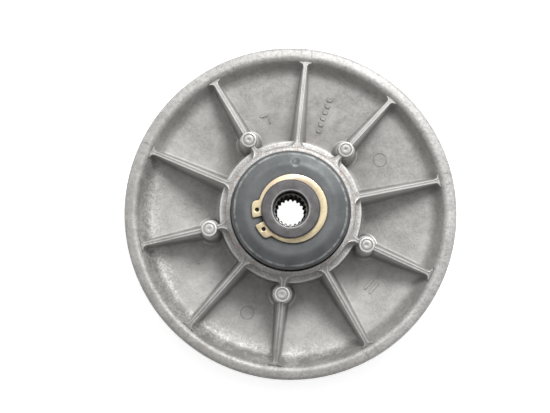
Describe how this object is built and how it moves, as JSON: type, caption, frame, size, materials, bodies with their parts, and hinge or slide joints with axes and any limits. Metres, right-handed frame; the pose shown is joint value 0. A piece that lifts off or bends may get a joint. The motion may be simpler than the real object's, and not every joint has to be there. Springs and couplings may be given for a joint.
{
  "type": "driven pulley of a belt transmission",
  "caption": "Driven pulley of a variable belt transmission: two cast conical sheaves on a splined hub, one riveted, one sliding and turning on a cam against a spring.",
  "frame": {"origin": "on the pulley's axis, in the plane of the hub's inner end face, which the shaft's shoulder meets", "axes": "+Z along the axis, from the fixed sheave to the circlip end of the hub; the first rib of each sheave points along +Y"},
  "size_m": [0.214, 0.214, 0.104],
  "materials": {
    "cast_aluminium": "die-cast grey aluminium, matt, lightly oxidised, with turned belt faces",
    "hub_steel": "dark phosphated steel, worn bright round the mouth of the bore",
    "bright_steel": "ground steel",
    "black_steel": "pressed sheet, blue-black coating, semi-gloss",
    "spring_steel": "black spring wire",
    "yellow_zinc": "yellow-passivated zinc plate on spring steel",
    "bearing_bronze": "sintered bronze",
    "nylon": "natural nylon",
    "seal_rubber": "black nitrile rubber"
  },
  "bodies": {
    "hub": {"splined_hub": "hub_steel", "fixed_sheave": "cast_aluminium", "hub_rivet_1": "bright_steel", "hub_rivet_2": "bright_steel", "hub_rivet_3": "bright_steel", "hub_rivet_4": "bright_steel", "hub_rivet_5": "bright_steel", "hub_rivet_6": "bright_steel", "cam_pin_1": "bright_steel", "cam_pin_2": "bright_steel", "cam_pin_3": "bright_steel", "spring_cup": "black_steel", "circlip": "yellow_zinc", "compression_spring": "spring_steel"},
    "thrust_washer": {"thrust_washer": "nylon"},
    "movable_sheave": {"movable_sheave": "cast_aluminium", "cam_sleeve": "hub_steel", "lower_bushing": "bearing_bronze", "upper_bushing": "bearing_bronze", "lower_grease_seal": "seal_rubber", "upper_grease_seal": "seal_rubber", "lower_o_ring": "seal_rubber", "upper_o_ring": "seal_rubber", "seal_collar": "bright_steel"},
    "cam_roller_1": {"cam_roller_1": "bright_steel"},
    "cam_roller_2": {"cam_roller_2": "bright_steel"},
    "cam_roller_3": {"cam_roller_3": "bright_steel"}
  },
  "joints": [
    {"name": "sheave_slide", "type": "slide", "parent": "hub", "child": "thrust_washer", "axis": [0, 0, 1], "range_m": [0, 0.022], "deforming": ["compression_spring"]},
    {"name": "sheave_turn", "type": "hinge", "parent": "thrust_washer", "child": "movable_sheave", "pos_m": [0, 0, 0.05], "axis": [0, 0, 1], "range_deg": [0, 48.1]},
    {"name": "roller_spin_1", "type": "hinge", "parent": "hub", "child": "cam_roller_1", "pos_m": [0.02, 0, 0.0573], "axis": [1, 0, 0], "range_deg": [0, 275]},
    {"name": "roller_spin_2", "type": "hinge", "parent": "hub", "child": "cam_roller_2", "pos_m": [-0.01, 0.01732, 0.0573], "axis": [-0.5, 0.866, 0], "range_deg": [0, 275]},
    {"name": "roller_spin_3", "type": "hinge", "parent": "hub", "child": "cam_roller_3", "pos_m": [-0.01, -0.01732, 0.0573], "axis": [-0.5, -0.866, 0], "range_deg": [0, 275]}
  ],
  "couplings": [
    {"joint": "sheave_turn", "follows": "sheave_slide", "rad_per_m": 38.08},
    {"joint": "roller_spin_1", "follows": "sheave_slide", "rad_per_m": 216},
    {"joint": "roller_spin_2", "follows": "sheave_slide", "rad_per_m": 216},
    {"joint": "roller_spin_3", "follows": "sheave_slide", "rad_per_m": 216}
  ]
}
